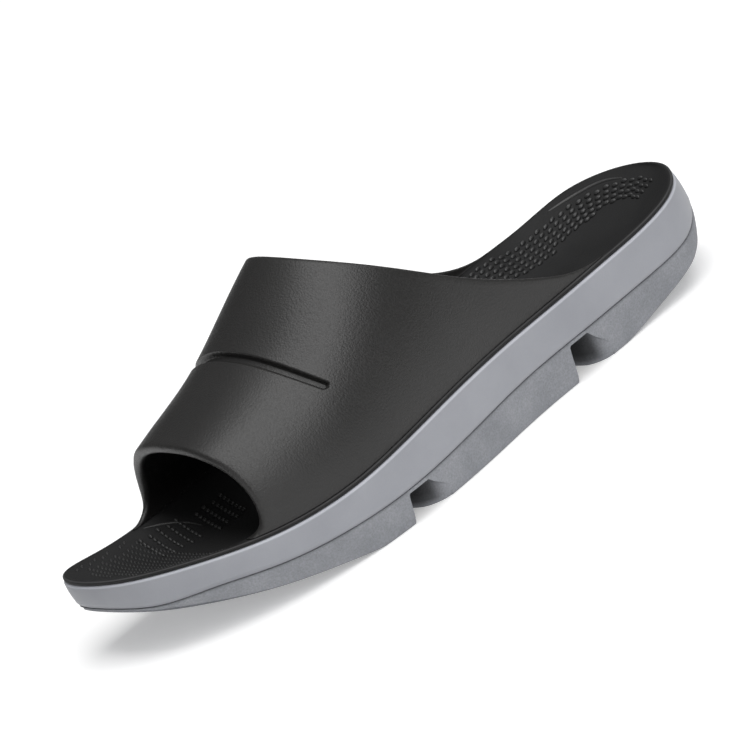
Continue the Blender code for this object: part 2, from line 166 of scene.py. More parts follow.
# Strap edges by share of the way round the arch, outer rim 0 to inner rim 1; shares of LENGTH from the middle
EDGE_COLUMNS = ("round", "throat", "groove", "toe")
EDGE = (
    (0.000, -0.285, 0.070, 0.356),
    (0.010, -0.226, 0.092, 0.340),
    (0.030, -0.183, 0.105, 0.335),
    (0.080, -0.108, 0.133, 0.332),
    (0.160, -0.029, 0.165, 0.333),
    (0.250, 0.029, 0.186, 0.336),
    (0.350, 0.067, 0.198, 0.339),
    (0.500, 0.085, 0.202, 0.338),
    (0.650, 0.067, 0.198, 0.332),
    (0.750, 0.029, 0.186, 0.324),
    (0.840, -0.029, 0.165, 0.318),
    (0.920, -0.108, 0.133, 0.316),
    (0.970, -0.183, 0.105, 0.321),
    (0.990, -0.226, 0.092, 0.333),
    (1.000, -0.285, 0.070, 0.352),
)
GROOVE_WIDTH = 0.0035
GROOVE_DEPTH = 0.0026
GROOVE_SHOULDER = 0.35
GROOVE_FLOOR = 0.42
GROOVE_MARGIN = 1.1
GROOVE_START = 0.191
GROOVE_END = 0.809
GROOVE_END_STRETCH = 0.1914
TAIL_WALL = 0.0026
TAIL_FADE = 0.030
TAIL_REACH = 0.10
INNER_WALL = 0.0024
INNER_REACH = 0.12
TAIL_TIP_WALL = 0.0008
EDGE_ROUND = 0.0021
EDGE_REACH = 0.0011

# Fineness: points round the sole, sections of the outsole, rows and columns of the strap and the nubs
RING_COUNT = 440
OUTLINE_COUNT = 300
LIP_ROWS = 5
CROWN_ROWS = 6
SEAM_ROWS = 5
BOWL_ROWS = 44
RIM_SHARES = (0.35, 0.7)
UNDER_ROWS = 16
BAND_ROWS = 9
BAND_REACH = (0.12, 0.9)
DISH_ROWS = 14
BASE_ROWS = 6
TOP_SHARES = (0.25, 0.5, 0.75)
LINE_COUNT = 900
SECTION_COUNT = 240
CHANNEL_SECTIONS = 60
CHANNEL_MARGIN = 0.002
SECTION_STEP = 0.0012
WALL_ROWS = 14
ACROSS_COUNT = 60
STRAP_ROUND = 361
STRAP_CROWD = 1.7
THROAT_CROWD = 0.9
THROAT_COLUMNS = 34
GROOVE_COLUMNS = 29
TOE_COLUMNS = 26
BEAD_ROWS = 11
DOME_SIDES = 10
BORDER_ROWS = 60
BORDER_SIDES = 12

# Raised nubs of the footbed: length, width and height of one, and the steps between them
HEEL_NUB = (0.0031, 0.0014, 0.0010)
BALL_NUB = (0.0025, 0.0017, 0.0011)
TOE_RIDGE = (0.0026, 0.0010, 0.0005)
NUB_STEP = 0.0024
NUB_COLUMN_STEP = 0.0036
RIDGE_STEP = 0.0023
BORDER = (0.0012, 0.0005)
BORDER_SINK = 0.0004
BORDER_FADE = (0.02, 0.98)

# How the nubs are turned in radians; rings of one dome as shares of its size, and how deep it sits in the bed
HEEL_NUB_TWIST = 0.18
BALL_NUB_TURN = 1.15
RIDGE_TURN = 0.95
DOME_RADII = (1.0, 0.86, 0.5)
DOME_SINK = 0.0002
DOME_BASE = 0.0004

# Nubs of the heel by share of the run along the inner side: how many in a column and the first one's inset
HEEL_RUN = (-0.20, 1.32)
HEEL_COUNT = ((0.0, 3.6), (0.12, 4.0), (0.35, 5.0), (0.65, 6.4), (1.0, 7.4))
HEEL_FIRST = ((0.0, 0.0092), (0.25, 0.0092), (0.45, 0.0080), (1.0, 0.0078))
HEEL_STAGGER = 0.0006
HEEL_LINE = 0.010
HEEL_PROBE = 0.012
HEEL_MOST = 8

# Blocks of nubs under the ball of the foot: columns, rows and first place, then steps, tilt and stagger
BALL_BLOCKS = (
    (5, 7, (0.0895, -0.0315)),
    (4, 7, (0.0700, -0.0290)),
)
BALL_STEPS = (0.0042, 0.0034)
BALL_TILT = 0.24
BALL_STAGGER = 0.0012

# Field of toe ridges: columns, rows, first place, step between columns, and the plain margin round it
RIDGE_FIELD = (12, 40)
RIDGE_FIRST = (0.1075, -0.046)
RIDGE_COLUMN_STEP = 0.0029
RIDGE_MARGIN = 0.0085
RIDGE_CLEAR = 0.0012
RIDGE_SIDE = 0.9
RIDGE_LAST = 0.1345

# Thin raised borders beside the nubs, as points on the bed in metres
HEEL_BORDER = (
    (-0.1338, -0.0160), (-0.1310, -0.0225), (-0.1255, -0.0285), (-0.1180, -0.0335), (-0.1110, -0.0365),
)
BALL_BORDER = (
    (0.0875, -0.0190), (0.0880, -0.0255), (0.0903, -0.0305), (0.0945, -0.0345), (0.1000, -0.0372),
)

# One look for each foam: two colours, scales of the mottle, the cells and the noise, share of the noise,
# roughness at low and high grain (smooth, rough), bump, specular level, and share of the grain in the colour
GRAIN_SOCKETS = (
    ("Cells", "cells"),
    ("Noise Scale", "noise"),
    ("Noise Share", "share"),
    ("Smooth", "smooth"),
    ("Rough", "rough"),
)
GRAIN_MIDDLE = 0.45
LOOKS = {
    "strap_foam": dict(
        dark=(0.0100, 0.0097, 0.0094), light=(0.0135, 0.0130, 0.0126), mottle=30.0, cells=1300.0, noise=950.0,
        share=0.40, smooth=0.38, rough=0.50, strength=0.85, distance=0.00014, specular=0.5, speckle=0.25,
    ),
    "footbed_foam": dict(
        dark=(0.0120, 0.0120, 0.0123), light=(0.0165, 0.0165, 0.0168), mottle=45.0, cells=1600.0,
        noise=1100.0, share=0.6, smooth=0.58, rough=0.74,
        strength=0.4, distance=0.0001, specular=0.20, speckle=0.15,
    ),
    # Nubs: the footbed's foam with a lighter colour as a painted highlight, and a smoother, shinier finish.
    "nub_foam_painted_highlight": dict(
        dark=(0.0180, 0.0180, 0.0184), light=(0.0240, 0.0240, 0.0244), mottle=45.0, cells=1600.0,
        noise=1100.0, share=0.6, smooth=0.36, rough=0.48,
        strength=0.3, distance=0.00008, specular=0.5, speckle=0.1,
    ),
    "midsole_foam": dict(
        dark=(0.250, 0.257, 0.281), light=(0.281, 0.288, 0.313), mottle=35.0, cells=2400.0, noise=1900.0,
        share=0.7, smooth=0.46, rough=0.56, strength=0.10, distance=0.0001, specular=0.40, speckle=0.10,
    ),
    "outsole_foam": dict(
        dark=(0.186, 0.193, 0.209), light=(0.233, 0.240, 0.258), mottle=60.0, cells=1300.0, noise=1700.0,
        share=0.55, smooth=0.60, rough=0.76, strength=0.9, distance=0.00020, specular=0.30, speckle=0.70,
    ),
}

# Photo view: turn, height and roll in degrees, distance and target in metres, lens in millimetres
VIEW_TURN = 29.516
VIEW_HEIGHT = 18.329
VIEW_ROLL = 26.479
VIEW_DISTANCE = 3.80497
VIEW_LENS = 503.475
VIEW_TARGET = (0.0049414, -0.0027735, 0.0355687)

# Studio: floor and surround, then soft boxes that all aim at one point, with their power in watts
FLOOR_GLOW = 0.27
FLOOR_REACH = 6.0
FLOOR_WHITE = (0.88, 0.88, 0.88, 1.0)
WORLD_GLOW = 0.13
BOX_TARGET = (0.0, 0.0, 0.03)
BOX_COLUMNS = ("name", "direction", "distance", "width", "length", "power")
SOFT_BOXES = (
    ("top_box", (-0.03, 0.28, 0.95), 2.6, 1.8, 3.3, 64.0),
    ("back_box", (0.16, -0.50, 0.85), 2.6, 1.6, 1.2, 2.6),
    ("heel_box", (-0.62, 0.02, 0.78), 2.6, 1.4, 0.9, 9.0),
    ("front_box", (0.17, 0.87, 0.47), 3.0, 1.4, 1.9, 27.0),
    ("toe_box", (0.90, 0.20, 0.35), 2.5, 1.2, 1.0, 4.0),
)


def column(table, names, name):
    """Return one named column of a table as an array."""
    return np.array([row[names.index(name)] for row in table])


def spline(knots, values, at):
    """Natural cubic spline through (knots, values), held at its end values past the ends."""
    knots = np.asarray(knots, float)
    values = np.asarray(values, float)
    count = len(knots)
    step = np.diff(knots)
    matrix = np.eye(count)
    right = np.zeros(count)
    inner = np.arange(1, count - 1)
    matrix[inner, inner - 1] = step[:-1]
    matrix[inner, inner] = 2.0 * (step[:-1] + step[1:])
    matrix[inner, inner + 1] = step[1:]
    slope = np.diff(values) / step
    right[inner] = 6.0 * np.diff(slope)
    bend = np.linalg.solve(matrix, right)
    at = np.clip(np.asarray(at, float), knots[0], knots[-1])
    i = np.clip(np.searchsorted(knots, at) - 1, 0, count - 2)
    h = step[i]
    a = (knots[i + 1] - at) / h
    b = 1.0 - a
    curve = (a ** 3 - a) * bend[i] + (b ** 3 - b) * bend[i + 1]
    return a * values[i] + b * values[i + 1] + curve * h * h / 6.0


def turn_of(along):
    """Angle round the sole, 0 at the heel and pi at the toe, for a share of the length."""
    return np.arccos(np.clip(1.0 - 2.0 * np.asarray(along, float), -1.0, 1.0))


def side_of_outline(turn):
    """Sideways place of the outline: a closed spline through the outer then the inner column of SOLE."""
    knots = turn_of(column(SOLE, SOLE_COLUMNS, "along"))
    outer = column(SOLE, SOLE_COLUMNS, "outer") * WIDTH
    inner = column(SOLE, SOLE_COLUMNS, "inner") * WIDTH
    full = 2.0 * math.pi
    ring_knots = np.concatenate([knots, full - knots[-2:0:-1]])
    ring_values = np.concatenate([outer, inner[-2:0:-1]])
    long_knots = np.concatenate([ring_knots - full, ring_knots, ring_knots + full])
    return spline(long_knots, np.tile(ring_values, 3), np.mod(turn, full))


def outline(turn, inset=0.0):
    """Outline point at an angle: x = -L/2 cos(turn), y from the closed spline, moved in along its normal."""
    turn = np.asarray(turn, float)
    nudge = 1e-3
    x = -0.5 * LENGTH * np.cos(turn)
    dx = 0.5 * LENGTH * np.sin(turn)
    dy = (side_of_outline(turn + nudge) - side_of_outline(turn - nudge)) / (2.0 * nudge)
    size = np.sqrt(dx * dx + dy * dy)
    return x + inset * dy / size, side_of_outline(turn) - inset * dx / size


def level(name, x):
    """Height of a named line of the sole at a lengthwise place, level across heel and toe."""
    knots = turn_of(column(SOLE, SOLE_COLUMNS, "along"))
    ring_knots = np.concatenate([-knots[3:0:-1], knots, 2.0 * math.pi - knots[-2:-5:-1]])
    values = column(SOLE, SOLE_COLUMNS, name) * STACK
    ring_values = np.concatenate([values[3:0:-1], values, values[-2:-5:-1]])
    return spline(ring_knots, ring_values, turn_of(np.asarray(x, float) / LENGTH + 0.5))


def arch_value(name, x):
    """One named column of the strap's arch at a lengthwise place."""
    knots = column(ARCH, ARCH_COLUMNS, "along")
    return spline(knots, column(ARCH, ARCH_COLUMNS, name), np.asarray(x) / LENGTH + 0.5)


def climb(share):
    """Share of the way round, spread out near the rims where edges run fastest: half the root of twice it."""
    share = np.clip(np.asarray(share, float), 0.0, 1.0)
    return np.where(share < 0.5, 0.5 * np.sqrt(2.0 * share), 1.0 - 0.5 * np.sqrt(2.0 * (1.0 - share)))


def edge_value(name, share):
    """Lengthwise place of a strap edge or of the groove, at a share of the way round."""
    knots = climb(column(EDGE, EDGE_COLUMNS, "round"))
    return spline(knots, column(EDGE, EDGE_COLUMNS, name) * LENGTH, climb(share))


def smooth_ramp(value):
    """0 to 1 with level ends: 3 v^2 - 2 v^3."""
    value = np.clip(value, 0.0, 1.0)
    return value * value * (3.0 - 2.0 * value)


def heel_lean(turns):
    """How far the top of the sole's wall leans in round the back of the heel."""
    back = np.minimum(np.abs(turns), np.abs(2.0 * math.pi - turns))
    return HEEL_LEAN * (1.0 - smooth_ramp(back / END_ARC))


def toe_tuck(turns):
    """How far the bottom of the sole's wall draws in under the tip of the toe."""
    front = np.abs(math.pi - np.abs(turns))
    return TOE_TUCK * (1.0 - smooth_ramp(front / END_ARC))


def seat_width(turns):
    """Width of the flat rim that the strap stands on, narrow at heel and toe; turns past pi are inner."""
    x = -0.5 * LENGTH * np.cos(turns)
    outer = np.mod(turns, 2.0 * math.pi) <= math.pi
    ends = np.where(outer, edge_value("throat", 0.0), edge_value("throat", 1.0))
    toe = np.where(outer, edge_value("toe", 0.0), edge_value("toe", 1.0))
    inside = smooth_ramp((x - ends + SEAT_LEAD) / SEAT_FADE) * smooth_ramp((toe + SEAT_LEAD - x) / SEAT_LEAD)
    return LIP_WIDTH + (STRAP_SEAT - LIP_WIDTH) * inside


def rim_level(x):
    """Top of the footbed's lip, where the strap stands."""
    return level("top", x) + LIP_HEIGHT


def bed_value(name, x):
    """Footbed depth or arch rise at a lengthwise place, 0 at the inner ends of the lip."""
    heel = LIP_INSET + LIP_WIDTH + HEEL_LEAN
    toe = LIP_INSET + LIP_WIDTH
    along = (np.asarray(x, float) + 0.5 * LENGTH - heel) / (LENGTH - heel - toe)
    knots = turn_of(column(BED, BED_COLUMNS, "along"))
    return spline(knots, column(BED, BED_COLUMNS, name) * STACK, turn_of(along))


def bed_side(x, y):
    """Where a point lies across the bed: 1 at the outer edge of the dish, -1 at the inner one."""
    turns = np.linspace(0.0, math.pi, LINE_COUNT)
    inset = LIP_INSET + seat_width(turns) + heel_lean(turns)
    outer_x, outer_y = outline(turns, inset)
    inset = LIP_INSET + seat_width(2.0 * math.pi - turns) + heel_lean(turns)
    inner_x, inner_y = outline(-turns, inset)
    high = np.interp(x, outer_x, outer_y)
    low = np.interp(x, inner_x, inner_y)
    half = np.maximum(0.5 * (high - low), 1e-5)
    return np.clip((y - 0.5 * (high + low)) / half, -1.0, 1.0)


def bed_level(x, y):
    """Footbed's surface: rim, less depth times a bowl of one less the side's power, plus the inner arch."""
    side = bed_side(x, y)
    bowl = (1.0 - np.abs(side) ** BOWL_POWER) ** BOWL_ROUND
    inner = smooth_ramp(-ARCH_START - ARCH_SPREAD * side)
    rise = bed_value("arch", x) * inner * (1.0 - np.abs(side) ** ARCH_END_POWER)
    return rim_level(x) - bed_value("depth", x) * bowl + rise * ARCH_SHARE


def mesh_object(name, points, faces, merge=2e-6, tone=None):
    """Smooth object from points (n, 3) and quads (m, 4), doubles merged; tone, its painted light and shade,
    scales its colour.
    """
    mesh = bpy.data.meshes.new(name)
    mesh.vertices.add(len(points))
    mesh.vertices.foreach_set("co", np.ascontiguousarray(points, np.float32).ravel())
    mesh.loops.add(faces.size)
    mesh.loops.foreach_set("vertex_index", np.ascontiguousarray(faces, np.int32).ravel())
    mesh.polygons.add(len(faces))
    mesh.polygons.foreach_set("loop_start", np.arange(0, faces.size, faces.shape[1], dtype=np.int32))
    mesh.update(calc_edges=True)
    tones = np.ones(len(points)) if tone is None else tone
    layer = mesh.attributes.new("tone", "FLOAT", "POINT")
    layer.data.foreach_set("value", np.ascontiguousarray(tones, np.float32).ravel())
    shell = bmesh.new()
    shell.from_mesh(mesh)
    bmesh.ops.remove_doubles(shell, verts=shell.verts, dist=merge)
    bmesh.ops.dissolve_degenerate(shell, edges=shell.edges, dist=merge)
    bmesh.ops.recalc_face_normals(shell, faces=shell.faces)
    shell.to_mesh(mesh)
    shell.free()
    mesh.polygons.foreach_set("use_smooth", np.ones(len(mesh.polygons), bool))
    item = bpy.data.objects.new(name, mesh)
    bpy.context.scene.collection.objects.link(item)
    return item


def grid_faces(rows, columns, around=False):
    """Quads of a grid of points numbered row by row; around also joins the last column to the first."""
    r, c = np.meshgrid(np.arange(rows - 1), np.arange(columns if around else columns - 1), indexing="ij")
    after = (c + 1) % columns
    quads = [r * columns + c, r * columns + after, (r + 1) * columns + after, (r + 1) * columns + c]
    return np.stack(quads, axis=-1).reshape(-1, 4)


def quarter(count):
    """Angles of a quarter round, 0 to a right angle."""
    return np.linspace(0.0, 0.5 * math.pi, count)


def ring_turns():
    """Angles right round the sole, evenly spaced."""
    return np.linspace(0.0, 2.0 * math.pi, RING_COUNT, endpoint=False)


def cap_rows(turns, edge, shares, height):
    """Rows from a closed edge in to the middle line: a straight blend by shares, heights from a function."""
    spine_x = np.clip(-0.5 * LENGTH * np.cos(turns), -0.5 * LENGTH + SPINE_HEEL, 0.5 * LENGTH - SPINE_TOE)
    knots = np.linspace(0.0, math.pi, OUTLINE_COUNT)
    outer_x, outer_y = outline(knots, 0.0)
    inner_x, inner_y = outline(-knots, 0.0)
    spine_y = 0.5 * (np.interp(spine_x, outer_x, outer_y) + np.interp(spine_x, inner_x, inner_y))
    share = np.asarray(shares)[:, None]
    x = edge[0] * (1.0 - share) + spine_x * share
    y = edge[1] * (1.0 - share) + spine_y * share
    return np.stack([x, y, height(x, y)], axis=-1)


def ring_row(turns, inset, height, lean=0.0):
    """One closed row of a sole piece at a constant inset, its height a function of x."""
    x, y = outline(turns, inset + lean * heel_lean(turns) + (1.0 - lean) * toe_tuck(turns))
    return np.stack([x, y, np.broadcast_to(height(x), x.shape)], axis=-1)


def under_bed(x, y):
    """Underside of the footbed: the bed lowered by the lip's height and half the rest towards the middle."""
    bulge = (BED_THICKNESS - LIP_HEIGHT) * 0.5 * (1.0 - np.abs(bed_side(x, y)) ** UNDER_POWER)
    return bed_level(x, y) - PIECE_GAP - bulge - (LIP_HEIGHT - 2.0 * PIECE_GAP)


def midsole_dish(x, y):
    """Dished top of the midsole: the bed lowered by the lip's height and its thickness in the middle."""
    return bed_level(x, y) - LIP_HEIGHT - BED_THICKNESS * (1.0 - np.abs(bed_side(x, y)) ** UNDER_POWER)


def midsole_foot(x):
    """Lowest level of the midsole: half the seam's gap above the seam."""
    return level("seam", x) + 0.5 * SEAM_GAP


def wall_level(x, share):
    """Level at a share of the way up the midsole's wall, from its foot to the rounded top edge."""
    return midsole_foot(x) * (1.0 - share) + (level("top", x) - CROWN_ROUND) * share


def footbed_piece():
    """Footbed: quarter-round lip, flat rim, dished bed and a thin underside, all closed rings of one grid."""
    turns = ring_turns()
    rows = [ring_row(turns, LIP_INSET, lambda x: level("top", x) + PIECE_GAP, 1.0)]
    for angle in quarter(LIP_ROWS):
        inset = LIP_INSET + LIP_ROUND * (1.0 - math.cos(angle))
        drop = LIP_ROUND * (1.0 - math.sin(angle))
        rows.append(ring_row(turns, inset, lambda x, d=drop: rim_level(x) - d, 1.0))
    seat_inset = LIP_INSET + seat_width(turns) + heel_lean(turns)
    crown_inset = LIP_INSET + LIP_ROUND + heel_lean(turns)
    for share in RIM_SHARES:
        x, y = outline(turns, crown_inset * (1.0 - share) + seat_inset * share)
        rows.append(np.stack([x, y, rim_level(x)], axis=-1))
    shares = 1.0 - np.cos(quarter(BOWL_ROWS))
    bowl = cap_rows(turns, outline(turns, seat_inset), shares, bed_level)
    under_edge = outline(turns, seat_inset + BED_STEP)
    under = cap_rows(turns, under_edge, np.linspace(0.0, 1.0, UNDER_ROWS), under_bed)
    grid = np.concatenate([under[::-1], np.stack(rows), bowl])
    faces = grid_faces(grid.shape[0], grid.shape[1], around=True)
    tone = np.ones(grid.shape[:2])
    # Painted highlight: the upper rows of the lip's rounded edge are made lighter.
    tone[len(under) + 3:len(under) + LIP_ROWS + 1] = LIP_PAINTED_HIGHLIGHT
    return mesh_object("footbed_dish", grid.reshape(-1, 3), faces, tone=tone)


def midsole_piece():
    """Midsole: quarter-round seam edge, slightly bulged wall, quarter-round top edge and dished top."""
    turns = ring_turns()
    rows = []
    for angle in quarter(CROWN_ROWS):
        inset = SEAM_DEPTH * (1.0 - math.sin(angle))
        rise = SEAM_ROUND * (1.0 - math.cos(angle))
        rows.append(ring_row(turns, inset, lambda x, r=rise: midsole_foot(x) + r))
    for share in np.linspace(*BAND_REACH, BAND_ROWS):
        bulge = -WALL_BULGE * math.sin(math.pi * share)
        rows.append(ring_row(turns, bulge, lambda x, s=share: wall_level(x, s), WALL_LEAN * share))
    for angle in quarter(CROWN_ROWS):
        inset = CROWN_INSET + CROWN_ROUND * (1.0 - math.cos(angle))
        drop = CROWN_ROUND * (1.0 - math.sin(angle))
        rows.append(ring_row(turns, inset, lambda x, d=drop: level("top", x) - d, 1.0))
    seat = outline(turns, LIP_INSET + seat_width(turns) + heel_lean(turns) + BED_STEP)
    dish = cap_rows(turns, seat, np.linspace(0.0, 1.0, DISH_ROWS), midsole_dish)
    base_edge = outline(turns, SEAM_DEPTH + BASE_STEP + toe_tuck(turns))
    base = cap_rows(turns, base_edge, np.linspace(0.0, 1.0, BASE_ROWS), lambda x, y: midsole_foot(x))
    grid = np.concatenate([base[::-1], np.stack(rows), dish])
    faces = grid_faces(grid.shape[0], grid.shape[1], around=True)
    tone = np.ones(grid.shape[:2])
    # Painted shade: the rounded seam edge of the midsole darkens towards the seam.
    tone[len(base):len(base) + CROWN_ROWS] = np.linspace(SEAM_PAINTED_SHADE, 1.0, CROWN_ROWS)[:, None]
    # Painted highlight: the rounded top edge, and the dish within it, are made lighter.
    tone[len(base) + len(rows) - CROWN_ROWS + 1:] = CROWN_PAINTED_HIGHLIGHT
    return mesh_object("midsole_band", grid.reshape(-1, 3), faces, tone=tone)


def channels():
    """Each channel as a dict of its named values, with its four places in metres."""
    rows = []
    for row in CHANNELS:
        channel = dict(zip(CHANNEL_COLUMNS, row))
        channel["places"] = np.array(row[:4]) * LENGTH
        rows.append(channel)
    return rows


def channel_shift(x, share, half):
    """How far the channel edges lie ahead of their place at the side: slanted, and round at the corners."""
    shift = np.zeros(np.broadcast(x, share).shape)
    for channel in channels():
        places = channel["places"]
        corner = channel["corner"]
        ends = [places[0] - CHANNEL_REACH, *places, places[3] + CHANNEL_REACH]
        reach = np.clip((share * half - (half - corner)) / corner, 0.0, 1.0)
        recede = corner * (1.0 - np.sqrt(1.0 - 0.999 * reach ** 2))
        slant = channel["slant"] * (1.0 - share ** 2)
        shift = shift + slant * np.interp(x, ends, [0.0, 1.0, 1.0, 1.0, 1.0, 0.0])
        shift = shift - recede * np.interp(x, ends, [0.0, 1.0, 1.0, 0.0, 0.0, 0.0])
    return shift


def channel_height(x):
    """Height that the channels raise the underside to: trapezoids along the length, shortly blurred."""
    total = np.zeros(np.shape(x))
    offsets = np.linspace(-CHANNEL_BLUR, CHANNEL_BLUR, 7)
    for offset in offsets:
        place = np.asarray(x) + offset
        lift = np.zeros(np.shape(x))
        for channel in channels():
            ceiling = channel["ceiling"]
            lift = np.maximum(lift, np.interp(place, channel["places"], [0.0, ceiling, ceiling, 0.0]))
        total = total + lift / len(offsets)
    return total


def outsole_sections():
    """Angles of the cross sections: even, with close ones at the channels."""
    near = []
    for channel in channels():
        low, high = channel["places"][0] - CHANNEL_MARGIN, channel["places"][3] + CHANNEL_MARGIN
        near.append(turn_of(np.linspace(low, high, CHANNEL_SECTIONS) / LENGTH + 0.5))
    turns = np.sort(np.concatenate([np.linspace(0.0, math.pi, SECTION_COUNT), *near]))
    keep = np.concatenate([[True], np.diff(turns) > SECTION_STEP])
    keep[-1] = True
    return turns[keep]


def outsole_wall(turns, sign, low, edge, seam_round, drop_x):
    """One side of the sections: rounded seam edge, wall drawn in by a power, quarter-round lower edge."""
    x0 = -0.5 * LENGTH * np.cos(turns)
    at_end = (turns < END_TURN) | (turns > math.pi - END_TURN)
    flat = np.maximum(level("bottom", x0), 0.0)
    tuck = toe_tuck(turns)
    rows = []
    for angle in quarter(SEAM_ROWS):
        x, y = outline(sign * turns, tuck + SEAM_INSET + SEAM_DEPTH * (1.0 - math.sin(angle)))
        z = level("seam", x) - 0.5 * SEAM_GAP - seam_round * (1.0 - math.cos(angle))
        rows.append(np.stack([x, y, z], axis=-1))
    brow = rows[-1][:, 2]
    for share in np.linspace(0.0, 1.0, WALL_ROWS)[1:]:
        z = brow + (low + edge - brow) * share
        place = x0 + (drop_x - x0) * smooth_ramp(DROP_PACE * share)
        turn = sign * np.where(at_end, turns, turn_of(place / LENGTH + 0.5))
        drawn = np.clip((brow - z) / np.maximum(brow - flat, 1e-4), 0.0, 1.0)
        inset = tuck + SEAM_INSET + (WALL_TAPER - SEAM_INSET) * drawn ** TAPER_POWER
        x, y = outline(turn, inset)
        rows.append(np.stack([x, y, z], axis=-1))
    for angle in quarter(SEAM_ROWS)[1:]:
        x, y = outline(turn, inset + edge * (1.0 - math.cos(angle)))
        rows.append(np.stack([x, y, low + edge * (1.0 - math.sin(angle))], axis=-1))
    return rows


def outsole_piece():
    """Outsole: closed sections from a seam edge down the wall, across the underside and up the other side."""
    turns = outsole_sections()
    x0 = -0.5 * LENGTH * np.cos(turns)
    foot = WALL_TAPER + SOLE_EDGE
    half = np.maximum(0.5 * (outline(turns, foot)[1] - outline(-turns, foot)[1]), 0.0001)
    drop_x = x0 + channel_shift(x0, np.ones(len(x0)), half)
    raised = channel_height(x0)
    low = np.maximum(np.maximum(level("bottom", drop_x), 0.0), raised)
    start = level("seam", outline(turns, toe_tuck(turns) + SEAM_INSET)[0]) - 0.5 * SEAM_GAP
    seam_round = np.minimum(SEAM_ROUND, EDGE_SHARE * (start - low))
    edge = SOLE_EDGE * (1.0 - CHANNEL_EDGE_CUT * smooth_ramp(raised / CHANNEL_EDGE_FADE))
    edge = np.minimum(edge, EDGE_SHARE * (start - low))
    walls = [outsole_wall(turns, sign, low, edge, seam_round, drop_x) for sign in (1.0, -1.0)]
    outer_foot, inner_foot = walls[0][-1], walls[1][-1]
    middle = 0.5 * (outer_foot[:, 1] + inner_foot[:, 1])
    reach = 0.5 * (outer_foot[:, 1] - inner_foot[:, 1])
    back = 0.5 * (outer_foot[:, 0] + inner_foot[:, 0]) - drop_x
    bottom = []
    shade = []
    for angle in np.linspace(0.0, math.pi, ACROSS_COUNT)[1:-1]:
        side = math.cos(angle)
        inward = smooth_ramp((reach * (1.0 - abs(side)) + CHANNEL_SHADE_START) / CHANNEL_SHADE_REACH)
        # Painted shade: the channel faces darken with their rise and towards the middle of the underside.
        shade.append(1.0 - CHANNEL_PAINTED_SHADE * smooth_ramp(raised / CHANNEL_SHADE_RISE) * inward)
        x = x0 + channel_shift(x0, abs(side) * np.ones(len(x0)), half) + back
        z = np.maximum(np.maximum(level("bottom", x), 0.0), raised)
        bottom.append(np.stack([x, middle + reach * side, z], axis=-1))
    top = [walls[1][0] * (1.0 - share) + walls[0][0] * share for share in TOP_SHARES]
    rings = np.stack([*walls[0], *bottom, *walls[1][::-1], *top], axis=1)
    faces = grid_faces(rings.shape[0], rings.shape[1], around=True)
    tone = np.ones(rings.shape[:2])
    wall = len(walls[0])
    far_seam = 2 * wall + len(shade)
    # Painted shade: the outsole rows at the seam on both sides darken towards the seam.
    tone[:, :SEAM_ROWS] = np.linspace(SEAM_PAINTED_SHADE, 1.0, SEAM_ROWS)
    tone[:, wall:wall + len(shade)] = np.stack(shade, axis=1)
    tone[:, far_seam - SEAM_ROWS:far_seam] = np.linspace(1.0, SEAM_PAINTED_SHADE, SEAM_ROWS)
    piece = mesh_object("outsole_pods", rings.reshape(-1, 3), faces, 1e-5, tone)
    piece.data.set_sharp_from_angle(angle=CHANNEL_SHARP)
    return piece


def arch_point(x, share):
    """Outer surface of the strap: a rounded arch from the outer rim over the crest to the inner rim."""
    x, share = np.broadcast_arrays(np.asarray(x, float), np.asarray(share, float))
    turn = turn_of(x / LENGTH + 0.5)
    outer = outline(turn, STRAP_INSET)[1]
    inner = outline(-turn, STRAP_INSET)[1]
    crest = arch_value("crest_side", x) * WIDTH
    rise = arch_value("rise", x) * STRAP_RISE
    blend = smooth_ramp((share - BLEND_START) / BLEND_WIDTH)
    power = arch_value("outer_power", x) * (1.0 - blend) + arch_value("inner_power", x) * blend
    reach = np.where(share < 0.5, outer - crest, inner - crest)
    angle = math.pi * share
    y = crest + reach * np.abs(np.cos(angle)) ** (2.0 / power)
    z = rim_level(x) + STRAP_BASE_GAP + rise * np.abs(np.sin(angle)) ** (2.0 / power)
    return np.stack([x, y, z], axis=-1)


def arch_normal(x, share):
    """Outward direction of the arch surface, from differences along and round it."""
    nudge = 0.0004
    step = 0.002
    along = arch_point(x + nudge, share) - arch_point(x - nudge, share)
    ahead = arch_point(x, np.clip(share + step, 0.0, 1.0))
    behind = arch_point(x, np.clip(share - step, 0.0, 1.0))
    normal = np.cross(ahead - behind, along)
    return normal / np.linalg.norm(normal, axis=-1, keepdims=True)


def strap_wall(x, share):
    """Wall thickness: full over the foot, thinner in the tails along the rim, thinnest at their tips."""
    rim = np.minimum(share, 1.0 - share)
    throat = edge_value("throat", share)
    tail = smooth_ramp((x - throat) / TAIL_FADE)
    low = 1.0 - smooth_ramp(rim / TAIL_REACH)
    tip = smooth_ramp((x - edge_value("throat", 0.0)) / TAIL_FADE)
    thin = TAIL_TIP_WALL + (TAIL_WALL - TAIL_TIP_WALL) * tip
    inner = 1.0 - smooth_ramp((1.0 - share) / INNER_REACH)
    full = STRAP_WALL - (STRAP_WALL - INNER_WALL) * inner
    return full - (full - np.minimum(full, thin)) * low * (1.0 - tail)


def groove_sink(offset, share):
    """Depth of the groove at a distance from its line: flat floor, steep throat wall, gentler toe wall."""
    past = np.maximum(np.maximum(GROOVE_START - share, share - GROOVE_END), 0.0) * GROOVE_END_STRETCH
    away = np.sqrt(offset ** 2 + past ** 2) / (0.5 * GROOVE_WIDTH)
    steep = 1.0 - GROOVE_FLOOR
    wall = np.where(offset > 0.0, steep + GROOVE_SHOULDER, steep)
    slope = np.clip((away - GROOVE_FLOOR) / wall, 0.0, 1.0)
    return GROOVE_DEPTH * (1.0 - smooth_ramp(slope))


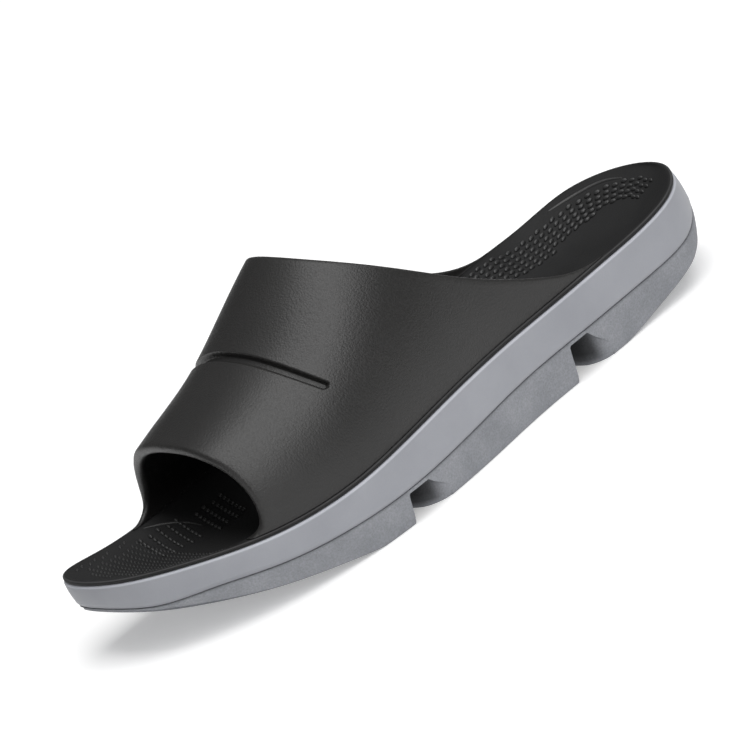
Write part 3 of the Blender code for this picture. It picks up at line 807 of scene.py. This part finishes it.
def strap_columns(throat, groove, toe):
    """Columns of the strap from throat to toe, each with its distance from the groove's line or None."""
    half = 0.5 * GROOVE_WIDTH * (GROOVE_MARGIN + GROOVE_SHOULDER)
    start = throat + EDGE_ROUND - EDGE_REACH
    end = toe - EDGE_ROUND + EDGE_REACH
    columns = []
    for part in np.linspace(0.0, 1.0, THROAT_COLUMNS)[:-1] ** THROAT_CROWD:
        columns.append((start * (1.0 - part) + (groove - half) * part, None))
    for place in np.linspace(-1.0, 1.0, GROOVE_COLUMNS):
        columns.append((groove + half * place, half * place))
    for part in np.linspace(0.0, 1.0, TOE_COLUMNS)[1:]:
        columns.append(((groove + half) * (1.0 - part) + end * part, None))
    return columns


def bead(outer, inner, near_outer):
    """Rounded edge rows from outer to inner skin, pushed out along the skins by half an ellipse."""
    middle = 0.5 * (outer + inner)
    spoke = 0.5 * (outer - inner)
    out = outer - near_outer
    out = out / np.linalg.norm(out, axis=-1, keepdims=True)
    rows = []
    for angle in np.linspace(0.0, math.pi, BEAD_ROWS)[1:-1]:
        rows.append(middle + spoke * math.cos(angle) + out * EDGE_ROUND * math.sin(angle))
    return rows


def rim_faces(rows, around, width, beads):
    """Quads that close the strap along both rims: between its two skins, and across its two rounded edges."""
    faces = []
    order = np.arange(width)
    partner = width + beads + (width - 1 - order)
    for row in (0, rows - 1):
        base = row * around
        faces.append(base + np.stack([order[:-1], order[1:], partner[1:], partner[:-1]], axis=-1))
        for first in (width - 1, width + beads + width - 1):
            loop = (first + np.arange(beads + 2)) % around
            left = np.arange((beads + 1) // 2)
            right = beads + 1 - left
            faces.append(base + np.stack([loop[left], loop[left + 1], loop[right - 1], loop[right]], axis=-1))
    return faces


def strap_piece():
    """Strap: outer skin with the groove, rounded edges at throat and toe, inner skin, closed at both rims."""
    even = np.linspace(-1.0, 1.0, STRAP_ROUND)
    share = 0.5 + 0.5 * np.sign(even) * (1.0 - (1.0 - np.abs(even)) ** STRAP_CROWD)
    throat, groove, toe = (edge_value(name, share) for name in ("throat", "groove", "toe"))
    outer_rows = []
    inner_rows = []
    shade = []
    for x, offset in strap_columns(throat, groove, toe):
        skin = arch_point(x, share)
        normal = arch_normal(x, share)
        normal[0] = (0.0, 1.0, 0.0)
        normal[-1] = (0.0, -1.0, 0.0)
        wall = strap_wall(x, share)[:, None]
        sunk = np.zeros(len(share)) if offset is None else groove_sink(np.full(len(share), offset), share)
        # Painted shade on the groove's floor and a painted highlight half-way up its toe-side wall.
        deep = sunk / GROOVE_DEPTH
        painted_highlight = 0.0 if offset is None or offset < 0.0 else GROOVE_PAINTED_HIGHLIGHT
        shade.append(1.0 - GROOVE_PAINTED_SHADE * deep + 4.0 * painted_highlight * deep * (1.0 - deep))
        outer_rows.append(skin - normal * sunk[:, None])
        inner_rows.append(skin - normal * wall)
    toe_rows = bead(outer_rows[-1], inner_rows[-1], outer_rows[-3])
    throat_rows = bead(outer_rows[0], inner_rows[0], outer_rows[2])
    rings = np.stack([*outer_rows, *toe_rows, *inner_rows[::-1], *throat_rows[::-1]], axis=1)
    floor = rim_level(rings[..., 0]) + STRAP_BASE_GAP
    rings[..., 2] = np.maximum(rings[..., 2], floor)
    rows, around = rings.shape[:2]
    width = len(outer_rows)
    beads = len(toe_rows)
    faces = [grid_faces(rows, around, around=True), *rim_faces(rows, around, width, beads)]
    tone = np.ones((rows, around))
    # The outer skin carries the groove's painted shade and highlight.
    tone[:, :width] = np.stack(shade, axis=1)
    # Painted highlight: both rounded edges of the strap, at toe and throat, are made lighter.
    tone[:, width:width + beads] = STRAP_EDGE_PAINTED_HIGHLIGHT
    tone[:, 2 * width + beads:] = STRAP_EDGE_PAINTED_HIGHLIGHT
    return mesh_object("strap_shell", rings.reshape(-1, 3), np.concatenate(faces), tone=tone)


def nub_shells(places, headings, length, width, height):
    """Joined low domes on the bed: each an ellipse of 3 rings, height times sqrt(1 - r^2), closed below."""
    angles = np.linspace(0.0, 2.0 * math.pi, DOME_SIDES, endpoint=False)
    radii = np.array(DOME_RADII)[:, None]
    u = 0.5 * length * radii * np.cos(angles)
    v = 0.5 * width * radii * np.sin(angles)
    w = np.broadcast_to(height * np.sqrt(1.0 - 0.98 * radii ** 2), u.shape)
    u = np.concatenate([u.ravel(), [0.0, 0.0]])
    v = np.concatenate([v.ravel(), [0.0, 0.0]])
    w = np.concatenate([w.ravel(), [height, -DOME_BASE]])
    w[:DOME_SIDES] = -DOME_SINK
    ring = np.arange(DOME_SIDES)
    after = (ring + 1) % DOME_SIDES
    even = ring[::2]
    odd = after[::2]
    next_even = (even + 2) % DOME_SIDES
    second = DOME_SIDES
    third = 2 * DOME_SIDES
    peak = np.full(len(even), 3 * DOME_SIDES)
    quads = np.concatenate([
        np.stack([ring, after, second + after, second + ring], axis=-1),
        np.stack([second + ring, second + after, third + after, third + ring], axis=-1),
        np.stack([third + even, third + odd, third + next_even, peak], axis=-1),
        np.stack([next_even, odd, even, peak + 1], axis=-1),
    ])
    cos, sin = np.cos(headings)[:, None], np.sin(headings)[:, None]
    x = places[:, :1] + u * cos - v * sin
    y = places[:, 1:] + u * sin + v * cos
    points = np.stack([x, y, bed_level(x, y) + w], axis=-1)
    faces = np.arange(len(places))[:, None, None] * len(u) + quads
    return points.reshape(-1, 3), faces.reshape(-1, 4)


def heel_nub_places():
    """Nubs along the inner side from the heel to the arch: columns square to the rim, 4 to 7 in each."""
    turns = np.linspace(*HEEL_RUN, LINE_COUNT)
    x, y = outline(-turns, HEEL_PROBE)
    run = np.concatenate([[0.0], np.cumsum(np.hypot(np.diff(x), np.diff(y)))])
    stops = np.arange(0.5 * NUB_COLUMN_STEP, run[-1], NUB_COLUMN_STEP)
    at = np.interp(stops, run, turns)
    x0, y0 = outline(-at, HEEL_LINE)
    x1, y1 = outline(-at, HEEL_PROBE)
    inward = np.arctan2(y1 - y0, x1 - x0)
    part = stops / run[-1]
    count = np.interp(part, *np.transpose(HEEL_COUNT))
    first = np.interp(part, *np.transpose(HEEL_FIRST))
    index = np.arange(HEEL_MOST)[None, :]
    inset = first[:, None] + index * NUB_STEP + HEEL_STAGGER * (np.arange(len(at)) % 2)[:, None]
    keep = index < np.round(count)[:, None]
    px = x0[:, None] + (inset - HEEL_LINE) * np.cos(inward)[:, None]
    py = y0[:, None] + (inset - HEEL_LINE) * np.sin(inward)[:, None]
    heading = np.broadcast_to(inward[:, None] + 0.5 * math.pi + HEEL_NUB_TWIST, px.shape)
    return np.stack([px[keep], py[keep]], axis=-1), heading[keep]


def ball_places(columns, rows, origin):
    """Nubs in a small block: columns along x, rows along a tilted y, every other column moved along it."""
    c, r = np.meshgrid(np.arange(columns), np.arange(rows), indexing="ij")
    down = r * BALL_STEPS[1] + BALL_STAGGER * (c % 2)
    x = origin[0] + c * BALL_STEPS[0] + down * math.sin(BALL_TILT)
    y = origin[1] + down * math.cos(BALL_TILT)
    return np.stack([x.ravel(), y.ravel()], axis=-1)


def toe_ridge_places():
    """Fine short ridges that fill the toe end inside a plain margin, in staggered columns."""
    c, r = np.meshgrid(np.arange(RIDGE_FIELD[0]), np.arange(RIDGE_FIELD[1]), indexing="ij")
    x = RIDGE_FIRST[0] + c * RIDGE_COLUMN_STEP
    y = RIDGE_FIRST[1] + r * RIDGE_STEP + 0.5 * RIDGE_STEP * (c % 2)
    places = np.stack([x.ravel(), y.ravel()], axis=-1)
    edge_x, edge_y = outline(np.linspace(0.0, 2.0 * math.pi, 500), RIDGE_MARGIN)
    side = np.abs(bed_side(places[:, 0], places[:, 1]))
    near = np.hypot(places[:, :1] - edge_x, places[:, 1:] - edge_y).min(axis=1)
    return places[(side < RIDGE_SIDE) & (near > RIDGE_CLEAR) & (places[:, 0] < RIDGE_LAST)]


def border_shell(knots, width, height):
    """Low ridge along a smooth line through the knots: half an ellipse across, dying out at both ends."""
    knots = np.asarray(knots)
    places = np.linspace(0.0, len(knots) - 1.0, BORDER_ROWS)
    order = np.arange(len(knots))
    line = np.stack([spline(order, knots[:, 0], places), spline(order, knots[:, 1], places)], axis=-1)
    heading = np.gradient(line, axis=0)
    heading = heading / np.linalg.norm(heading, axis=1, keepdims=True)
    fade = np.sqrt(np.clip(np.sin(math.pi * np.linspace(*BORDER_FADE, BORDER_ROWS)), 0.0, 1.0))
    angles = np.linspace(0.0, 2.0 * math.pi, BORDER_SIDES, endpoint=False)
    out = 0.5 * width * np.cos(angles)[None, :] * fade[:, None]
    rise = np.where(np.sin(angles) > 0.0, height, BORDER_SINK) * np.sin(angles)
    x = line[:, :1] - heading[:, 1:] * out
    y = line[:, 1:] + heading[:, :1] * out
    z = bed_level(x, y) + rise[None, :] * fade[:, None]
    points = np.stack([x, y, z], axis=-1).reshape(-1, 3)
    side = np.arange(BORDER_SIDES // 2 - 1)
    across = BORDER_SIDES - 1 - side
    cap = np.stack([side, side + 1, across - 1, across], axis=-1)
    wall = grid_faces(BORDER_ROWS, BORDER_SIDES, around=True)
    return points, np.concatenate([wall, cap, (BORDER_ROWS - 1) * BORDER_SIDES + cap])


def nub_piece():
    """All raised nubs, ridges and borders of the footbed as one mesh."""
    places, headings = heel_nub_places()
    shells = [nub_shells(places, headings, *HEEL_NUB)]
    for columns, rows, origin in BALL_BLOCKS:
        block = ball_places(columns, rows, origin)
        shells.append(nub_shells(block, np.full(len(block), BALL_NUB_TURN), *BALL_NUB))
    ridges = toe_ridge_places()
    shells.append(nub_shells(ridges, np.full(len(ridges), RIDGE_TURN), *TOE_RIDGE))
    shells.append(border_shell(HEEL_BORDER, *BORDER))
    shells.append(border_shell(BALL_BORDER, *BORDER))
    points = []
    faces = []
    total = 0
    for shell_points, shell_faces in shells:
        points.append(shell_points)
        faces.append(shell_faces + total)
        total += len(shell_points)
    return mesh_object("footbed_nubs", np.concatenate(points), np.concatenate(faces), 1e-7)


def socket(group, name, kind, way, value=None):
    """One socket of a node group's interface."""
    made = group.interface.new_socket(name=name, in_out=way, socket_type=kind)
    if value is not None:
        made.default_value = value
    return made


def wire(tree, *runs):
    """Join sockets: each run names a source node, its output, a target node and its input."""
    for source, output, target, entry in runs:
        tree.links.new(source.outputs[output], target.inputs[entry])


def mottle_group():
    """Node group: a colour varied a little by slow noise, as moulded foam is."""
    group = bpy.data.node_groups.new("foam_mottle", "ShaderNodeTree")
    socket(group, "Vector", "NodeSocketVector", "INPUT")
    socket(group, "Dark", "NodeSocketColor", "INPUT")
    socket(group, "Light", "NodeSocketColor", "INPUT")
    socket(group, "Scale", "NodeSocketFloat", "INPUT", 40.0)
    socket(group, "Color", "NodeSocketColor", "OUTPUT")
    enter = group.nodes.new("NodeGroupInput")
    leave = group.nodes.new("NodeGroupOutput")
    noise = group.nodes.new("ShaderNodeTexNoise")
    noise.inputs["Detail"].default_value = 4.0
    noise.inputs["Roughness"].default_value = 0.6
    spread = group.nodes.new("ShaderNodeMapRange")
    spread.inputs["From Min"].default_value = 0.32
    spread.inputs["From Max"].default_value = 0.68
    mix = group.nodes.new("ShaderNodeMix")
    mix.data_type = "RGBA"
    wire(
        group,
        (enter, "Vector", noise, "Vector"),
        (enter, "Scale", noise, "Scale"),
        (noise, "Fac", spread, "Value"),
        (spread, "Result", mix, "Factor"),
        (enter, "Dark", mix, "A"),
        (enter, "Light", mix, "B"),
        (mix, "Result", leave, "Color"),
    )
    return group


def grain_group():
    """Node group: height of a pebbled grain, rounded cells mixed with noise, and a matching roughness."""
    group = bpy.data.node_groups.new("pebble_grain", "ShaderNodeTree")
    socket(group, "Vector", "NodeSocketVector", "INPUT")
    socket(group, "Cells", "NodeSocketFloat", "INPUT", 900.0)
    socket(group, "Noise Scale", "NodeSocketFloat", "INPUT", 1500.0)
    socket(group, "Noise Share", "NodeSocketFloat", "INPUT", 0.5)
    socket(group, "Smooth", "NodeSocketFloat", "INPUT", 0.45)
    socket(group, "Rough", "NodeSocketFloat", "INPUT", 0.55)
    socket(group, "Height", "NodeSocketFloat", "OUTPUT")
    socket(group, "Roughness", "NodeSocketFloat", "OUTPUT")
    enter = group.nodes.new("NodeGroupInput")
    leave = group.nodes.new("NodeGroupOutput")
    cells = group.nodes.new("ShaderNodeTexVoronoi")
    cells.feature = "SMOOTH_F1"
    cells.inputs["Smoothness"].default_value = 0.35
    noise = group.nodes.new("ShaderNodeTexNoise")
    noise.inputs["Detail"].default_value = 3.0
    mix = group.nodes.new("ShaderNodeMix")
    mix.data_type = "FLOAT"
    rough = group.nodes.new("ShaderNodeMapRange")
    rough.inputs["From Min"].default_value = 0.25
    rough.inputs["From Max"].default_value = 0.75
    wire(
        group,
        (enter, "Vector", cells, "Vector"),
        (enter, "Vector", noise, "Vector"),
        (enter, "Cells", cells, "Scale"),
        (enter, "Noise Scale", noise, "Scale"),
        (enter, "Noise Share", mix, "Factor"),
        (cells, "Distance", mix, "A"),
        (noise, "Fac", mix, "B"),
        (mix, "Result", leave, "Height"),
        (mix, "Result", rough, "Value"),
        (enter, "Smooth", rough, "To Min"),
        (enter, "Rough", rough, "To Max"),
        (rough, "Result", leave, "Roughness"),
    )
    return group


def foam_material(name, groups, look):
    """Principled foam: mottled colour scaled by the tone of painted light and shade and by grain, pebbled bump
    and roughness, from a look.
    """
    material = bpy.data.materials.new(name)
    material.use_nodes = True
    tree = material.node_tree
    shader = tree.nodes["Principled BSDF"]
    place = tree.nodes.new("ShaderNodeTexCoord")
    mottle = tree.nodes.new("ShaderNodeGroup")
    mottle.node_tree = groups["mottle"]
    grain = tree.nodes.new("ShaderNodeGroup")
    grain.node_tree = groups["grain"]
    bump = tree.nodes.new("ShaderNodeBump")
    mottle.inputs["Dark"].default_value = (*look["dark"], 1.0)
    mottle.inputs["Light"].default_value = (*look["light"], 1.0)
    mottle.inputs["Scale"].default_value = look["mottle"]
    for entry, key in GRAIN_SOCKETS:
        grain.inputs[entry].default_value = look[key]
    bump.inputs["Strength"].default_value = look["strength"]
    bump.inputs["Distance"].default_value = look["distance"]
    shader.inputs["Specular IOR Level"].default_value = look["specular"]
    # The tone attribute carries the painted light and shade of each piece.
    tone = tree.nodes.new("ShaderNodeAttribute")
    tone.attribute_name = "tone"
    speckle = tree.nodes.new("ShaderNodeMath")
    speckle.operation = "MULTIPLY_ADD"
    speckle.inputs[1].default_value = look["speckle"]
    speckle.inputs[2].default_value = 1.0 - GRAIN_MIDDLE * look["speckle"]
    scale = tree.nodes.new("ShaderNodeMath")
    scale.operation = "MULTIPLY"
    colour = tree.nodes.new("ShaderNodeVectorMath")
    colour.operation = "SCALE"
    wire(
        tree,
        (place, "Object", mottle, "Vector"),
        (place, "Object", grain, "Vector"),
        (grain, "Height", speckle, 0),
        (speckle, "Value", scale, 0),
        (tone, "Fac", scale, 1),
        (mottle, "Color", colour, 0),
        (scale, "Value", colour, "Scale"),
        (colour, "Vector", shader, "Base Color"),
        (grain, "Height", bump, "Height"),
        (grain, "Roughness", shader, "Roughness"),
        (bump, "Normal", shader, "Normal"),
    )
    return material


def put_material(item, material):
    """Give a piece its one material."""
    item.data.materials.clear()
    item.data.materials.append(material)


def view_axes():
    """Camera axes from its turn, height and roll: right, up and the way from the target to the camera."""
    turn, height, roll = np.radians([VIEW_TURN, VIEW_HEIGHT, VIEW_ROLL])
    back = np.array([math.sin(turn) * math.cos(height), math.cos(turn) * math.cos(height), math.sin(height)])
    right = np.cross(-back, (0.0, 0.0, 1.0))
    right = right / np.linalg.norm(right)
    up = np.cross(right, -back)
    rolled_right = right * math.cos(roll) - up * math.sin(roll)
    rolled_up = right * math.sin(roll) + up * math.cos(roll)
    return rolled_right, rolled_up, back


def place_camera():
    """Camera of the photo view: a long lens on the target, rolled."""
    right, up, back = view_axes()
    data = bpy.data.cameras.new("photo_view")
    data.lens = VIEW_LENS
    data.sensor_width = 36.0
    data.clip_end = 30.0
    camera = bpy.data.objects.new("photo_view", data)
    bpy.context.scene.collection.objects.link(camera)
    eye = np.array(VIEW_TARGET) + VIEW_DISTANCE * back
    matrix = np.eye(4)
    matrix[:3, 0] = right
    matrix[:3, 1] = up
    matrix[:3, 2] = back
    matrix[:3, 3] = eye
    camera.matrix_world = Matrix(matrix.tolist())
    bpy.context.scene.camera = camera


def soft_box(name, direction, distance, width, length, power):
    """Rectangular area light in a direction from the target of all boxes, facing it."""
    way = np.asarray(direction, float) / np.linalg.norm(direction)
    data = bpy.data.lights.new(name, "AREA")
    data.shape = "RECTANGLE"
    data.size = width
    data.size_y = length
    data.energy = power
    lamp = bpy.data.objects.new(name, data)
    bpy.context.scene.collection.objects.link(lamp)
    side = np.cross((0.0, 0.0, 1.0), way)
    side = side / np.linalg.norm(side)
    matrix = np.eye(4)
    matrix[:3, 0] = side
    matrix[:3, 1] = np.cross(way, side)
    matrix[:3, 2] = way
    matrix[:3, 3] = np.asarray(BOX_TARGET) + way * distance
    lamp.matrix_world = Matrix(matrix.tolist())


def studio():
    """Pale floor, pale surround and soft boxes."""
    corners = FLOOR_REACH * np.array([(-1.0, -1.0, 0.0), (1.0, -1.0, 0.0), (1.0, 1.0, 0.0), (-1.0, 1.0, 0.0)])
    floor = mesh_object("floor", corners, np.array([[0, 1, 2, 3]]))
    material = bpy.data.materials.new("pale_floor")
    material.use_nodes = True
    shader = material.node_tree.nodes["Principled BSDF"]
    shader.inputs["Base Color"].default_value = FLOOR_WHITE
    shader.inputs["Roughness"].default_value = 0.9
    shader.inputs["Specular IOR Level"].default_value = 0.1
    shader.inputs["Emission Color"].default_value = (1.0, 1.0, 1.0, 1.0)
    shader.inputs["Emission Strength"].default_value = FLOOR_GLOW
    put_material(floor, material)
    world = bpy.data.worlds.new("pale_surround")
    world.use_nodes = True
    world.node_tree.nodes["Background"].inputs["Color"].default_value = (1.0, 1.0, 1.0, 1.0)
    world.node_tree.nodes["Background"].inputs["Strength"].default_value = WORLD_GLOW
    bpy.context.scene.world = world
    for row in SOFT_BOXES:
        soft_box(**dict(zip(BOX_COLUMNS, row)))
    bpy.context.scene.view_settings.view_transform = "Standard"


def build():
    """Make every piece, give it its material and stand it in for its solid."""
    groups = {"mottle": mottle_group(), "grain": grain_group()}
    finish = {name: foam_material(name, groups, look) for name, look in LOOKS.items()}
    plan = (
        (outsole_piece(), "outsole_foam", "outsole", "outsole_foam"),
        (midsole_piece(), "midsole_foam", "midsole", "midsole_foam"),
        (footbed_piece(), "footbed_foam", "footbed", "footbed_foam"),
        (strap_piece(), "strap_foam", "upper", "upper_foam"),
        (nub_piece(), "nub_foam_painted_highlight", None, "footbed_foam"),
    )
    for piece, look, node, slot in plan:
        put_material(piece, finish[look])
        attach(piece, "root")
        if node:
            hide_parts(node)


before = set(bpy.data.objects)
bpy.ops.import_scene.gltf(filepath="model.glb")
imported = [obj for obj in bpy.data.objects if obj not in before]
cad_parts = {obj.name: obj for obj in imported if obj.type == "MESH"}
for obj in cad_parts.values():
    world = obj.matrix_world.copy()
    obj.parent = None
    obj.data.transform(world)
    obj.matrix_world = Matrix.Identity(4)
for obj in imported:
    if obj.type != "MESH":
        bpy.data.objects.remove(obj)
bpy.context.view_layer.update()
place_camera()
studio()
build()
